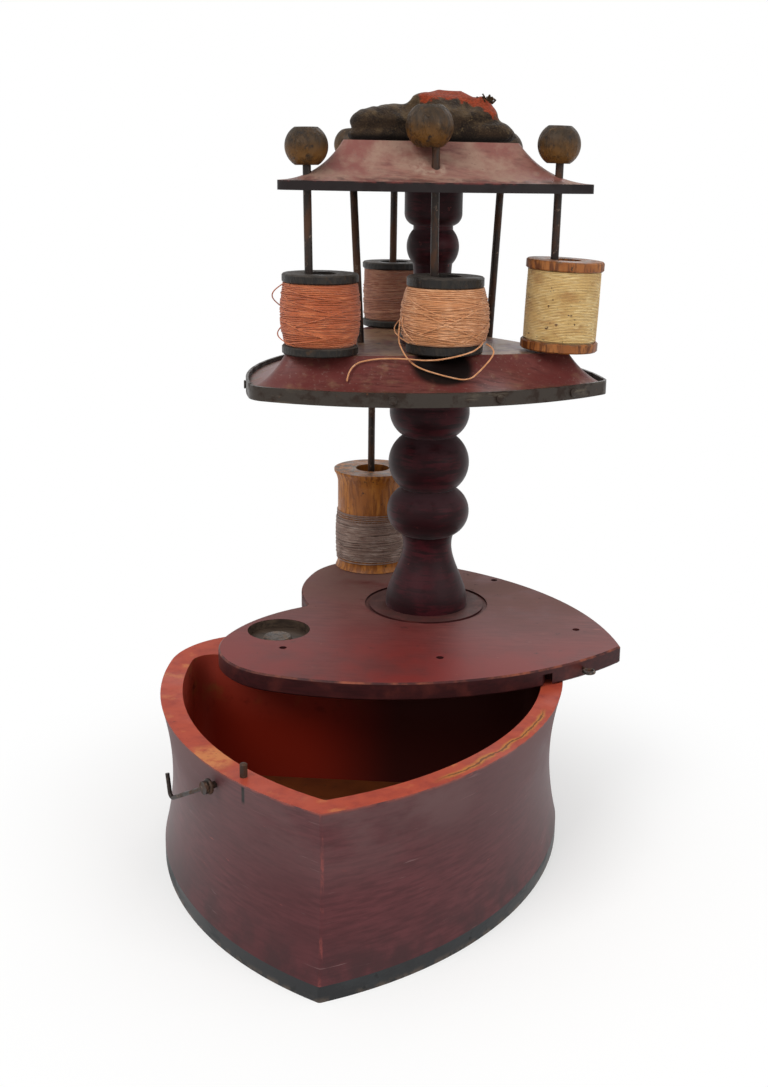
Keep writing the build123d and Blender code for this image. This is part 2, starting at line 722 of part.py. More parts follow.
# Pincushion: a stuffed three-cornered cushion, drawn in at its seat
with BuildPart() as pincushion:
    for share, height, shift in CUSHION_LEVELS:
        centre = opened(TOP_X, TOP_Y, TOP_TOP + height) + Vector(shift, 0, 0)
        with BuildSketch(Plane(origin=centre, x_dir=lid_plane(0).x_dir, z_dir=(0, 0, 1))):
            add(
                three_cornered(
                    share * CUSHION_CORNER,
                    share * CUSHION_SIDE,
                    share * CUSHION_CORNER_R,
                    share * CUSHION_CORNER_R,
                )
            )
    loft()
pincushion.part.label = "pincushion"

# Lifting spindles and their turned ball knobs
spindles = []
knobs = []
for name, (foot, head, knob_h, knob_r, knob_side) in SPINDLES.items():
    frame = spindle_frames[name]
    stem_axis = frame.offset((TOP_Z + knob_h - MID_TOP) / frame.z_dir.Z)
    knob_frame = Plane(stem_axis.origin + Vector(knob_side, 0, 0), z_dir=stem_axis.z_dir)
    knob_flat_z = knob_r - KNOB_FLAT
    knob_flat_r = sqrt(knob_r**2 - knob_flat_z**2)
    knob_flat_angle = degrees(acos(knob_flat_r / knob_r))
    stem_foot = frame.offset(SPINDLE_SEAT_GAP - SPINDLE_SEAT)
    stem_top = stem_axis.offset(KNOB_BORE - knob_flat_z)
    stem_l = (stem_top.origin - stem_foot.origin).length
    with BuildPart() as spindle:
        with BuildSketch(stem_foot):
            Circle(SPINDLE_R)
        extrude(amount=stem_l)
    spindle.part.label = f"{name}_spindle"
    spindles.append(spindle.part)
    with BuildPart() as knob:
        with BuildSketch(profile_plane(knob_frame)):
            with BuildLine():
                CenterArc((0, 0), knob_r, -knob_flat_angle, 2 * knob_flat_angle)
                Polyline(
                    (knob_flat_r, knob_flat_z),
                    (0, knob_flat_z),
                    (0, -knob_flat_z),
                    (knob_flat_r, -knob_flat_z),
                )
            make_face()
        revolve(axis=turning_axis(knob_frame))
        with BuildSketch(stem_top):
            Circle(SPINDLE_R)
        extrude(amount=-stem_l, mode=Mode.SUBTRACT)
    knob.part.label = f"{name}_knob"
    knobs.append(knob.part)

# Spools and the thread wound on them
spools = []
threads = []
for name, (hang, lean, flange_r, height, flange_t, thread_radii, fullest) in SPOOLS.items():
    lean_sin, lean_cos = sin(radians(lean)), cos(radians(lean))
    foot = spindle_frames[name].origin + Vector(hang, 0, SPOOL_GAP + flange_r * lean_sin)
    frame = Plane(origin=foot, z_dir=(lean_sin, 0, lean_cos))
    flange_foot = height - flange_t
    full_z = flange_t + fullest * (flange_foot - flange_t)
    with BuildPart() as spool:
        with BuildSketch(profile_plane(frame)) as profile:
            with BuildLine():
                Polyline(
                    (SPOOL_BORE_R, 0),
                    (flange_r, 0),
                    (flange_r, flange_t),
                    (BARREL_R, flange_t),
                    (BARREL_R, flange_foot),
                    (flange_r, flange_foot),
                    (flange_r, height),
                    (SPOOL_BORE_R, height),
                    close=True,
                )
            make_face()
            chamfer(profile.vertices().group_by(Axis.X)[-1], SPOOL_EDGE)
        revolve(axis=turning_axis(frame))
    spool.part.label = f"{name}_spool"
    spools.append(spool.part)
    with BuildPart() as thread:
        with BuildSketch(profile_plane(frame)):
            with BuildLine():
                Spline(
                    (thread_radii[0], flange_t),
                    (thread_radii[1], full_z),
                    (thread_radii[2], flange_foot),
                )
                Polyline(
                    (thread_radii[0], flange_t),
                    (BARREL_R, flange_t),
                    (BARREL_R, flange_foot),
                    (thread_radii[2], flange_foot),
                )
            make_face()
        revolve(axis=turning_axis(frame))
    thread.part.label = f"{name}_thread"
    threads.append(thread.part)

lower_frame = Plane(origin=opened(*LOWER_SPINDLE_XY, LID_TOP + SPOOL_GAP) + Vector(LOWER_HANG, 0, 0))
lip_z = LOWER_H - LOWER_LIP_T
lower_thread_r = [LOWER_BODY_R + thickness for thickness in LOWER_THREAD_T]
with BuildPart() as lower_spool:
    with BuildSketch(profile_plane(lower_frame)):
        with BuildLine():
            RadiusArc((LOWER_FOOT_R, 0), (LOWER_BODY_R, LOWER_FOOT_H), 2 * LOWER_FOOT_H)
            Line((LOWER_BODY_R, LOWER_FOOT_H), (LOWER_BODY_R, lip_z - LOWER_NECK_H))
            RadiusArc(
                (LOWER_BODY_R, lip_z - LOWER_NECK_H), (LOWER_LIP_R, lip_z), 2 * LOWER_NECK_H
            )
            Polyline(
                (LOWER_LIP_R, lip_z),
                (LOWER_LIP_R, LOWER_H),
                (LOWER_BORE_R, LOWER_H),
                (LOWER_BORE_R, 0),
                (LOWER_FOOT_R, 0),
            )
        make_face()
    revolve(axis=turning_axis(lower_frame))
lower_spool.part.label = "lower_spool"

with BuildPart() as lower_thread:
    with BuildSketch(profile_plane(lower_frame)):
        with BuildLine():
            Spline(
                (lower_thread_r[0], LOWER_THREAD_FOOT),
                (lower_thread_r[1], (LOWER_THREAD_FOOT + LOWER_THREAD_HEAD) / 2),
                (lower_thread_r[2], LOWER_THREAD_HEAD),
            )
            Polyline(
                (lower_thread_r[0], LOWER_THREAD_FOOT),
                (LOWER_BODY_R, LOWER_THREAD_FOOT),
                (LOWER_BODY_R, LOWER_THREAD_HEAD),
                (lower_thread_r[2], LOWER_THREAD_HEAD),
            )
        make_face()
    revolve(axis=turning_axis(lower_frame))
lower_thread.part.label = "lower_thread"

# Loose thread: straight runs and tangent bends
loose_threads = []
for name, points in LOOSE_THREADS.items():
    with BuildPart() as loose_thread:
        with BuildLine() as lay:
            FilletPolyline(*points, radius=CORD_BEND_R)
        with BuildSketch(across(lay.line)):
            Circle(CORD_R)
        sweep()
    bends = lay.edges().filter_by(GeomType.CIRCLE)
    print(name, "thickness", 2 * CORD_R, "bend radii", sorted({round(bend.radius, 2) for bend in bends}))
    loose_thread.part.label = name
    loose_threads.append(loose_thread.part)

pieces = [
    box_body.part,
    base_board.part,
    base_nails.part,
    pivot_peg.part,
    rim_pin.part,
    hook_nail.part,
    lid_hook.part,
    lid.part,
    lid_eye.part,
    lower_post.part,
    mid_tier.part,
    tier_band.part,
    band_nails.part,
    upper_post.part,
    top_tier.part,
    pincushion.part,
    lower_spindle.part,
    lower_spool.part,
    lower_thread.part,
]
pieces += spindles + knobs + spools + threads + loose_threads
os.makedirs("parts", exist_ok=True)
for piece in pieces:
    export_step(piece, f"parts/{piece.label}.step")
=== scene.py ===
"""Antique painted sewing stand: finishes, wound thread, pincushion, loose threads, light."""
import json
import math
import random

import bmesh
import bpy
from mathutils import Matrix, Vector, noise


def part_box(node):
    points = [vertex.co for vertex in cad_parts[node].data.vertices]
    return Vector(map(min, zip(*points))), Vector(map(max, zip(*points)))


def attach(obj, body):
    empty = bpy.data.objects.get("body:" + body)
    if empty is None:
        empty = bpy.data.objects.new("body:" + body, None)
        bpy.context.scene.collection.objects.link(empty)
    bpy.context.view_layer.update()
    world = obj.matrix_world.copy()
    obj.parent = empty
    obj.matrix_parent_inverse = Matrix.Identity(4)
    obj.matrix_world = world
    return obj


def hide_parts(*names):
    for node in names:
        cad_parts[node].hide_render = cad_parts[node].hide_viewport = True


MM = 0.001

# Recess and ring groove of the lid, as in the part's source, in metres
RECESS_PLACE = (-0.03595, 0.05948, 0.0656)
RECESS_RADIUS = 0.0120
GROOVE_RADIUS = 0.0252

# Camera, fitted to the photograph: 768 by 1087 pixels
CAMERA_PLACE = (0.05143, -0.41653, 0.24467)
CAMERA_HEADING = math.radians(93.792)
CAMERA_PITCH = math.radians(13.104)
CAMERA_ROLL = math.radians(1.0635)
CAMERA_LENS = 43.52
CAMERA_SHIFT = (-0.03845, -0.07154)

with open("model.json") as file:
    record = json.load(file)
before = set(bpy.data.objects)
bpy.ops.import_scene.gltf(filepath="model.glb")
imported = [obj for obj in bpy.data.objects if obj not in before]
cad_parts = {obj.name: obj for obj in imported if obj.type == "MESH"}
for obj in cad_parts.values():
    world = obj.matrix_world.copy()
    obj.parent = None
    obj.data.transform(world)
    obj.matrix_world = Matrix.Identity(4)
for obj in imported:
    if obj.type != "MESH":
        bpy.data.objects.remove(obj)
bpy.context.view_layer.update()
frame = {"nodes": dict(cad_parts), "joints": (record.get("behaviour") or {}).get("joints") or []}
nodes = frame["nodes"]
joints = {joint["name"]: joint for joint in frame["joints"]}
chance = random.Random(7)

# Levels of the rim and the boards, and how far the lid is turned open, from the frame
RIM_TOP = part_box("box_body")[1].z
LID_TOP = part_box("lid")[1].z
MID_UNDER, MID_TOP = [corner.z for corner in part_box("mid_tier")]
ROOF_UNDER, ROOF_TOP = [corner.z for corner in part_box("top_tier")]
OPEN_TURN = -math.radians(joints["lid_swing"]["range_deg"][0])


# Materials

def colour(hex_code):
    """An sRGB hex code as linear red, green, blue and alpha."""
    parts = [int(hex_code[i:i + 2], 16) / 255 for i in (0, 2, 4)]
    return [p / 12.92 if p <= 0.04045 else ((p + 0.055) / 1.055) ** 2.4 for p in parts] + [1.0]


# Asks for all the outputs of a node
ALL = slice(None)


def add(tree, kind, inputs=None, out=0, **settings):
    """Adds a node with its settings, values and links, and returns one output or ALL of them."""
    made = tree.nodes.new(kind)
    for name, value in settings.items():
        setattr(made, name, value)
    for key, value in (inputs or {}).items():
        if isinstance(value, bpy.types.NodeSocket):
            tree.links.new(value, made.inputs[key])
        else:
            made.inputs[key].default_value = value
    return made.outputs[out]


def start(name, roughness, metallic=0.0, sheen=0.0, specular=0.5):
    """A new material, with its tree, its shader and the place on the piece."""
    material = bpy.data.materials.new(name)
    material.use_nodes = True
    tree = material.node_tree
    shader = tree.nodes["Principled BSDF"]
    shader.inputs["Roughness"].default_value = roughness
    shader.inputs["Metallic"].default_value = metallic
    shader.inputs["Sheen Weight"].default_value = sheen
    shader.inputs["Specular IOR Level"].default_value = specular
    place = add(tree, "ShaderNodeTexCoord", out="Object")
    return material, tree, shader, place


def patches(tree, place, size, low, high, stretch=(1, 1, 1), turn=0.0, detail=5.0, shift=0.0):
    """Soft irregular patches about size millimetres across, as a mask from 0 to 1."""
    moved = add(tree, "ShaderNodeMapping", {
        "Vector": place, "Location": (shift, shift, shift),
        "Rotation": (0, 0, turn), "Scale": stretch})
    cloud = add(tree, "ShaderNodeTexNoise", {
        "Vector": moved, "Scale": 1 / (size * MM), "Detail": detail, "Roughness": 0.6})
    return add(tree, "ShaderNodeMapRange", {
        "Value": cloud, "From Min": low, "From Max": high}, interpolation_type="SMOOTHSTEP")


def zone(tree, value, start_at, end_at):
    """A mask that rises from 0 to 1 between two values."""
    low, high = min(start_at, end_at), max(start_at, end_at)
    ends = (0.0, 1.0) if start_at < end_at else (1.0, 0.0)
    return add(tree, "ShaderNodeMapRange", {
        "Value": value, "From Min": low, "From Max": high, "To Min": ends[0], "To Max": ends[1]},
        interpolation_type="SMOOTHSTEP")


def both(tree, *masks):
    """Where all of these masks are."""
    product = masks[0]
    for mask in masks[1:]:
        product = add(tree, "ShaderNodeMath", {0: product, 1: mask}, operation="MULTIPLY")
    return product


def coats(tree, ground, *layers):
    """Colours laid over a ground one after the other, each where its mask is."""
    result = ground if isinstance(ground, bpy.types.NodeSocket) else colour(ground)
    for mask, over in layers:
        over = over if isinstance(over, bpy.types.NodeSocket) else colour(over)
        result = add(tree, "ShaderNodeMix", {0: mask, 6: result, 7: over}, out=2, data_type="RGBA")
    return result


def finish(tree, shader, base, relief=None, depth=0.1, gloss=None):
    """Links colour and relief in millimetres to the shader, and roughness by a mask and its two ends."""
    tree.links.new(base, shader.inputs["Base Color"])
    if relief is not None:
        bump = add(tree, "ShaderNodeBump", {"Height": relief, "Distance": depth * MM, "Strength": 1.0})
        tree.links.new(bump, shader.inputs["Normal"])
    if gloss is not None:
        mask, smooth, coarse = gloss
        roughness = add(tree, "ShaderNodeMapRange", {"Value": mask, "To Min": smooth, "To Max": coarse})
        tree.links.new(roughness, shader.inputs["Roughness"])


def facing(tree):
    """The x, y and z of the way a face looks."""
    normal = add(tree, "ShaderNodeTexCoord", out="Normal")
    return add(tree, "ShaderNodeSeparateXYZ", {0: normal}, out=ALL)


def spot(tree, place, centre, start_at, end_at):
    """A round mask that rises from 0 to 1 between two distances from a point."""
    reach = add(tree, "ShaderNodeVectorMath", {0: place, 1: centre}, out=1, operation="DISTANCE")
    return zone(tree, reach, start_at, end_at)


def dress(name, material):
    """Gives a CAD node its finish."""
    mesh = nodes[name].data
    mesh.materials.clear()
    mesh.materials.append(material)


# Old oil paint on a carved softwood box: dull red-brown with a fine grain, rubbed
# through to orange along the arrises, grey with dust below the rim, and bare ochre
# wood on the floor inside. Painted shade darkens the inside walls lower down and to the right.
def box_paint():
    material, tree, shader, place = start("box_oil_paint", 0.45, specular=0.3)
    x, y, z = add(tree, "ShaderNodeSeparateXYZ", {0: place}, out=ALL)
    nx, ny, nz = facing(tree)
    outward = add(tree, "ShaderNodeMath", {0: x, 1: nx}, operation="MULTIPLY")
    outward = add(tree, "ShaderNodeMath", {0: y, 1: ny, 2: outward}, operation="MULTIPLY_ADD")
    inside = both(tree, zone(tree, outward, 0.002, -0.002), zone(tree, nz, 0.9, 0.5))
    floor = both(tree, zone(tree, nz, 0.5, 0.9), zone(tree, z, 0.03, 0.02))
    rim = both(tree, zone(tree, nz, 0.4, 0.8), zone(tree, z, 0.05, 0.055))
    grain = patches(tree, place, 1.1, 0.34, 0.7, (0.12, 0.12, 1.0))
    broad = patches(tree, place, 30, 0.36, 0.64, (0.6, 0.6, 1.0))
    dusty = both(tree, zone(tree, z, 0.026, 0.060), patches(tree, place, 22, 0.3, 0.62, (0.6, 0.6, 1.0)))
    grime = both(tree, zone(tree, z, 0.024, 0.006), patches(tree, place, 12, 0.35, 0.65))
    rubbed = patches(tree, place, 3.5, 0.68, 0.76, (0.4, 0.4, 1.4), shift=0.3)
    arris = both(tree, zone(tree, z, 0.0586, 0.0598), patches(tree, place, 5, 0.36, 0.6))
    from_middle = add(tree, "ShaderNodeMath", {0: x}, operation="ABSOLUTE")
    tip = both(tree, zone(tree, from_middle, 0.0008, 0.0002), zone(tree, y, -0.06, -0.066),
               patches(tree, place, 4, 0.42, 0.62, (1, 1, 0.4)))
    scratches = patches(tree, place, 0.8, 0.69, 0.78, (0.05, 0.05, 0.8), detail=2.0, shift=0.9)
    # a short drying crack that runs down from the rim below the stop pin
    crack_x = add(tree, "ShaderNodeMath", {0: z, 1: 0.06, 2: -0.0297}, operation="MULTIPLY_ADD")
    beside = add(tree, "ShaderNodeMath", {0: x, 1: crack_x}, operation="SUBTRACT")
    beside = add(tree, "ShaderNodeMath", {0: beside}, operation="ABSOLUTE")
    crack = both(tree, zone(tree, beside, 0.0008, 0.0003), zone(tree, y, -0.03, -0.04),
                 zone(tree, z, 0.0515, 0.0535), zone(tree, z, 0.0592, 0.0585))
    outer = coats(
        tree, "4a1d21", (broad, "562529"), (grain, "42171b"), (dusty, "5f4444"),
        (grime, "361619"), (scratches, "674848"), (rubbed, "7a3834"), (arris, "8a4034"),
        (tip, "86403a"), (crack, "100807"))
    bare = patches(tree, place, 13, 0.56, 0.74, shift=0.7)
    scuffed = patches(tree, place, 6, 0.4, 0.7)
    # bare wood on the rim above the hook's nail, and a shake that follows its right flank
    above_nail = (-0.041, -0.040, RIM_TOP)
    by_nail = both(tree, spot(tree, place, above_nail, 0.011, 0.006), patches(tree, place, 4, 0.3, 0.6))
    flank_centre, shake_radius, shake_wander = (-0.0499, 0.0406, RIM_TOP), 0.1212, 0.0022
    flank = add(tree, "ShaderNodeVectorMath", {0: place, 1: flank_centre}, out=1, operation="DISTANCE")
    shaken = add(tree, "ShaderNodeMath", {
        0: patches(tree, place, 9, 0.2, 0.8), 1: shake_wander, 2: -shake_radius}, operation="MULTIPLY_ADD")
    flank = add(tree, "ShaderNodeMath", {0: flank, 1: shaken}, operation="ADD")
    flank = add(tree, "ShaderNodeMath", {0: flank}, operation="ABSOLUTE")
    along = both(tree, zone(tree, x, 0.030, 0.038), zone(tree, y, 0.012, 0.004))
    split = both(tree, zone(tree, flank, 0.0016, 0.0005), along, patches(tree, place, 4, 0.3, 0.55))
    shake = both(tree, zone(tree, flank, 0.0005, 0.0002), along)
    top = coats(
        tree, "a8452f", (scuffed, "93382a"), (bare, "bd7443"), (by_nail, "bf7646"),
        (patches(tree, place, 3, 0.66, 0.76, shift=0.2), "5a2a1e"), (split, "b0702f"), (shake, "6a3c18"))
    # inside wall: red paint with ochre and dark spots, then painted shade, darker red lower in the cavity
    # and near black towards the right
    inner_wall_and_painted_shade = coats(
        tree, "963424", (patches(tree, place, 10, 0.54, 0.74), "8a4a26"),
        (patches(tree, place, 5, 0.56, 0.7, shift=0.5), "5e1c14"),
        (zone(tree, z, 0.054, 0.03), "84200f"), (zone(tree, x, -0.026, 0.014), "380d08"))
    bottom = coats(
        tree, "6a3514", (patches(tree, place, 22, 0.3, 0.7), "52260f"),
        (patches(tree, place, 3, 0.6, 0.74, shift=0.1), "3d2210"))
    base = coats(tree, outer, (inside, inner_wall_and_painted_shade), (floor, bottom), (rim, top))
    relief = coats(
        tree, "808080", (grain, "6c6c6c"), (broad, "8c8c8c"), (rubbed, "6a6a6a"), (crack, "000000"))
    finish(tree, shader, base, relief, 0.1, (dusty, 0.42, 0.7))
    return material


# Black foot paint, nearly matt, rubbed to grey-brown where it meets the table.
def foot_paint():
    material, tree, shader, place = start("foot_black_paint", 0.55, specular=0.3)
    z = add(tree, "ShaderNodeSeparateXYZ", {0: place}, out="Z")
    rubbed = both(tree, zone(tree, z, 0.0022, 0.0004), patches(tree, place, 4, 0.42, 0.6))
    worn = patches(tree, place, 11, 0.48, 0.66, (0.4, 0.4, 1))
    base = coats(tree, "1d1e20", (worn, "2c2f31"), (rubbed, "4a4038"),
                 (patches(tree, place, 3, 0.6, 0.7), "131415"))
    finish(tree, shader, base, worn, 0.08, (worn, 0.42, 0.7))
    return material


# The lid's paint: brick red where it is wiped, grey-brown with dust towards the rear,
# orange wood on the front arris, and dark in the ring and recess.
def lid_paint(post_place):
    material, tree, shader, place = start("lid_oil_paint", 0.55, specular=0.2)
    _, y, z = add(tree, "ShaderNodeSeparateXYZ", {0: place}, out=ALL)
    nz = facing(tree)[2]
    level = zone(tree, nz, 0.85, 0.97)
    sloped = both(tree, zone(tree, nz, 0.3, 0.5), zone(tree, nz, 0.92, 0.85))
    sunk = both(tree, spot(tree, place, RECESS_PLACE, RECESS_RADIUS + 0.0008, RECESS_RADIUS + 0.0003),
                zone(tree, z, LID_TOP, LID_TOP - 0.0002))
    grain = patches(tree, place, 1.4, 0.34, 0.7, (0.14, 1.0, 1.0), OPEN_TURN)
    broad = patches(tree, place, 26, 0.38, 0.62)
    red = both(tree, zone(tree, y, 0.085, 0.03), patches(tree, place, 30, 0.3, 0.6, shift=0.4))
    dusty = both(tree, zone(tree, y, 0.05, 0.135), patches(tree, place, 16, 0.26, 0.6))
    scars = patches(tree, place, 3.4, 0.68, 0.76, (0.3, 1.0, 1.0), 0.5)
    stains = patches(tree, place, 5, 0.66, 0.74, shift=0.9)
    top = coats(tree, "602a28", (broad, "6a322f"), (grain, "542321"), (red, "742622"),
                (dusty, "705049"), (scars, "8a5046"), (stains, "3a1c1a"))
    edge = coats(tree, "3a1718", (grain, "2c1112"), (patches(tree, place, 12, 0.46, 0.7), "50231f"))
    arris = patches(tree, place, 9, 0.42, 0.7, shift=0.6)
    # grease inside the ring groove, round the post's foot
    post_foot = (post_place.x, post_place.y, LID_TOP)
    collar = both(tree, spot(tree, place, post_foot, GROOVE_RADIUS + 0.0010, GROOVE_RADIUS - 0.0027),
                  patches(tree, place, 6, 0.2, 0.55))
    top = coats(tree, top, (collar, "462a27"))
    bare = coats(tree, "4a3c31", (grain, "2c221c"))
    base = coats(tree, edge, (level, top), (both(tree, sloped, arris), "8c4a34"), (sunk, bare))
    relief = coats(tree, "808080", (grain, "6c6c6c"), (scars, "585858"), (broad, "8c8c8c"))
    finish(tree, shader, base, relief, 0.1, (dusty, 0.48, 0.8))
    return material


# Tier boards, the same paint: wine red slopes, darker sawn edges, and a flat that is
# covered by grey dust and old grease. dust_low sets how much dust lies on the slopes.
# The last argument adds coats of its own: worn paint round the roof's spindle hole, and a painted shadow
# on the mid tier's slope.
def tier_paint(name, under, top, slope, slope_light, dim, flat, edge, grit, dust_low, extra_coats):
    material, tree, shader, place = start(name, 0.5, specular=0.25)
    z = add(tree, "ShaderNodeSeparateXYZ", {0: place}, out="Z")
    nz = facing(tree)[2]
    level = both(tree, zone(tree, nz, 0.9, 0.985), zone(tree, z, top - 0.0012, top - 0.0004))
    side = zone(tree, nz, 0.35, 0.15)
    arris = both(tree, zone(tree, z, under + 0.0026, under + 0.0034),
                 zone(tree, z, under + 0.0044, under + 0.0036), patches(tree, place, 9, 0.5, 0.68))
    speck = patches(tree, place, 1.1, 0.58, 0.72)
    broad = patches(tree, place, 18, 0.38, 0.62)
    grain = patches(tree, place, 1.4, 0.36, 0.7, (0.14, 1.0, 1.0), OPEN_TURN)
    dust = patches(tree, place, 9, dust_low - 0.03, dust_low + 0.3, shift=0.35)
    gutter = both(tree, zone(tree, z, under + 0.0052, under + 0.0040), patches(tree, place, 5, 0.4, 0.6))
    sloped = coats(tree, slope, (broad, slope_light), (both(tree, grain, broad), dim), (dust, flat),
                   (speck, "7a5a52"), (gutter, grit), *extra_coats(tree, place))
    flat_top = coats(tree, flat, (patches(tree, place, 10, 0.46, 0.66), slope),
                     (patches(tree, place, 4, 0.56, 0.68, shift=0.8), "3b2a26"))
    base = coats(tree, sloped, (level, flat_top), (side, edge), (arris, "682f2b"))
    relief = coats(tree, "808080", (grain, "606060"), (speck, "a0a0a0"), (broad, "929292"))
    finish(tree, shader, base, relief, 0.12, (dust, 0.42, 0.75))
    return material


# Turned and painted post: dark wine with a soft gloss on its beads, dust in the coves.
def post_paint():
    material, tree, shader, place = start("turned_post_paint", 0.48, sheen=0.09, specular=0.1)
    nz = facing(tree)[2]
    lathe = patches(tree, place, 1.5, 0.44, 0.6, (0.15, 0.15, 1.0))
    broad = patches(tree, place, 14, 0.4, 0.62)
    upward = both(tree, zone(tree, nz, 0.15, 0.7), patches(tree, place, 8, 0.3, 0.55))
    base = coats(tree, "26080d", (broad, "3c0f16"), (lathe, "20070b"), (upward, "3a2226"),
                 (patches(tree, place, 3, 0.66, 0.74), "5a2826"))
    relief = coats(tree, "808080", (lathe, "707070"), (broad, "949494"))
    finish(tree, shader, base, relief, 0.14, (upward, 0.4, 0.7))
    return material


# Wrought wire, brown with old rust and rubbed to a dull shine.
def rusted_wire():
    material, tree, shader, place = start("rusted_iron_wire", 0.5, metallic=0.4, specular=0.3)
    rust = patches(tree, place, 5, 0.44, 0.62, (1, 1, 0.4))
    base = coats(tree, "2d2521", (rust, "4c3325"), (patches(tree, place, 2, 0.6, 0.7), "6d5a4c"))
    finish(tree, shader, base, rust, 0.1, (rust, 0.38, 0.7))
    return material


# Sheet iron hoop, oiled grey-brown with rust spots and long rub marks.
def hoop_iron():
    material, tree, shader, place = start("sheet_iron_hoop", 0.55, metallic=0.35, specular=0.3)
    rust = patches(tree, place, 7, 0.46, 0.62)
    rubs = patches(tree, place, 3, 0.55, 0.68, (0.2, 0.2, 1.0))
    base = coats(tree, "37302a", (rust, "2c2019"), (rubs, "51483d"),
                 (patches(tree, place, 2, 0.66, 0.74, shift=0.4), "543624"))
    finish(tree, shader, base, rust, 0.08, (rust, 0.4, 0.7))
    return material


# Whittled hardwood balls, greased nearly black above and amber below.
def knob_wood():
    material, tree, shader, place = start("whittled_knob_wood", 0.5, specular=0.2)
    nz = facing(tree)[2]
    grain = patches(tree, place, 1.3, 0.42, 0.62, (1.0, 1.0, 0.25))
    cuts = patches(tree, place, 5, 0.3, 0.7, detail=1.0)
    amber = both(tree, zone(tree, nz, 0.35, -0.5), patches(tree, place, 6, 0.34, 0.56))
    grease = both(tree, zone(tree, nz, -0.1, 0.9), patches(tree, place, 5, 0.34, 0.56, shift=0.5))
    base = coats(
        tree, "44301a", (grain, "2e2012"), (amber, "5f3e17"), (grease, "31271c"),
        (patches(tree, place, 2.4, 0.56, 0.7), "1d150f"),
        (patches(tree, place, 2, 0.66, 0.74, shift=0.6), "7a6142"))
    relief = coats(tree, "404040", (cuts, "c0c0c0"), (grain, "585858"))
    finish(tree, shader, base, relief, 0.8, (grease, 0.42, 0.62))
    return material


# Spool wood, stained black and rubbed to brown-grey along its lips.
def black_stain():
    material, tree, shader, place = start("black_stained_wood", 0.5, specular=0.22)
    nz = facing(tree)[2]
    grain = patches(tree, place, 1.4, 0.44, 0.62, (1.0, 1.0, 0.3))
    dust = both(tree, zone(tree, nz, 0.3, 0.9), patches(tree, place, 5, 0.34, 0.56))
    base = coats(tree, "1d1a18", (grain, "29241f"), (dust, "3f3832"),
                 (patches(tree, place, 4, 0.6, 0.7, shift=0.3), "3f2d1f"))
    finish(tree, shader, base, grain, 0.1, (dust, 0.4, 0.7))
    return material


# Bare turned birch, honey brown with fine dark pores and polish from handling.
def turned_birch(name, light, mid, dark, gloss):
    material, tree, shader, place = start(name, gloss, specular=0.28)
    nz = facing(tree)[2]
    grain = patches(tree, place, 1.6, 0.42, 0.6, (1.0, 1.0, 0.16))
    broad = patches(tree, place, 9, 0.4, 0.6, (1.0, 1.0, 0.5))
    dirt = both(tree, zone(tree, nz, 0.4, 0.9), patches(tree, place, 4, 0.46, 0.62))
    base = coats(tree, mid, (broad, light), (grain, dark), (dirt, "5d4630"),
                 (patches(tree, place, 2.2, 0.64, 0.7), "3f2a18"))
    finish(tree, shader, base, grain, 0.08, (broad, gloss - 0.08, gloss + 0.14))
    return material


# Spun cotton: soft and matt, each strand a little lighter or darker than the next.
def cotton(name, light, mid, dark, spots=None, fade=None):
    material, tree, shader, place = start(name, 0.85, sheen=0.25, specular=0.25)
    strand = patches(tree, place, 1.1, 0.38, 0.62, (0.25, 0.25, 1.6))
    broad = patches(tree, place, 8, 0.4, 0.62)
    base = coats(tree, mid, (strand, light), (broad, mid),
                 (patches(tree, place, 1.2, 0.60, 0.74, (0.2, 0.2, 1.8), shift=0.4), dark))
    if spots:
        base = coats(tree, base, (patches(tree, place, 1.8, 0.70, 0.74, detail=1.0, shift=0.2), spots))
    if fade:
        base = coats(tree, base, (patches(tree, place, 7, 0.5, 0.66, (0.6, 0.6, 1.2), shift=0.6), fade))
    finish(tree, shader, base, strand, 0.12)
    return material


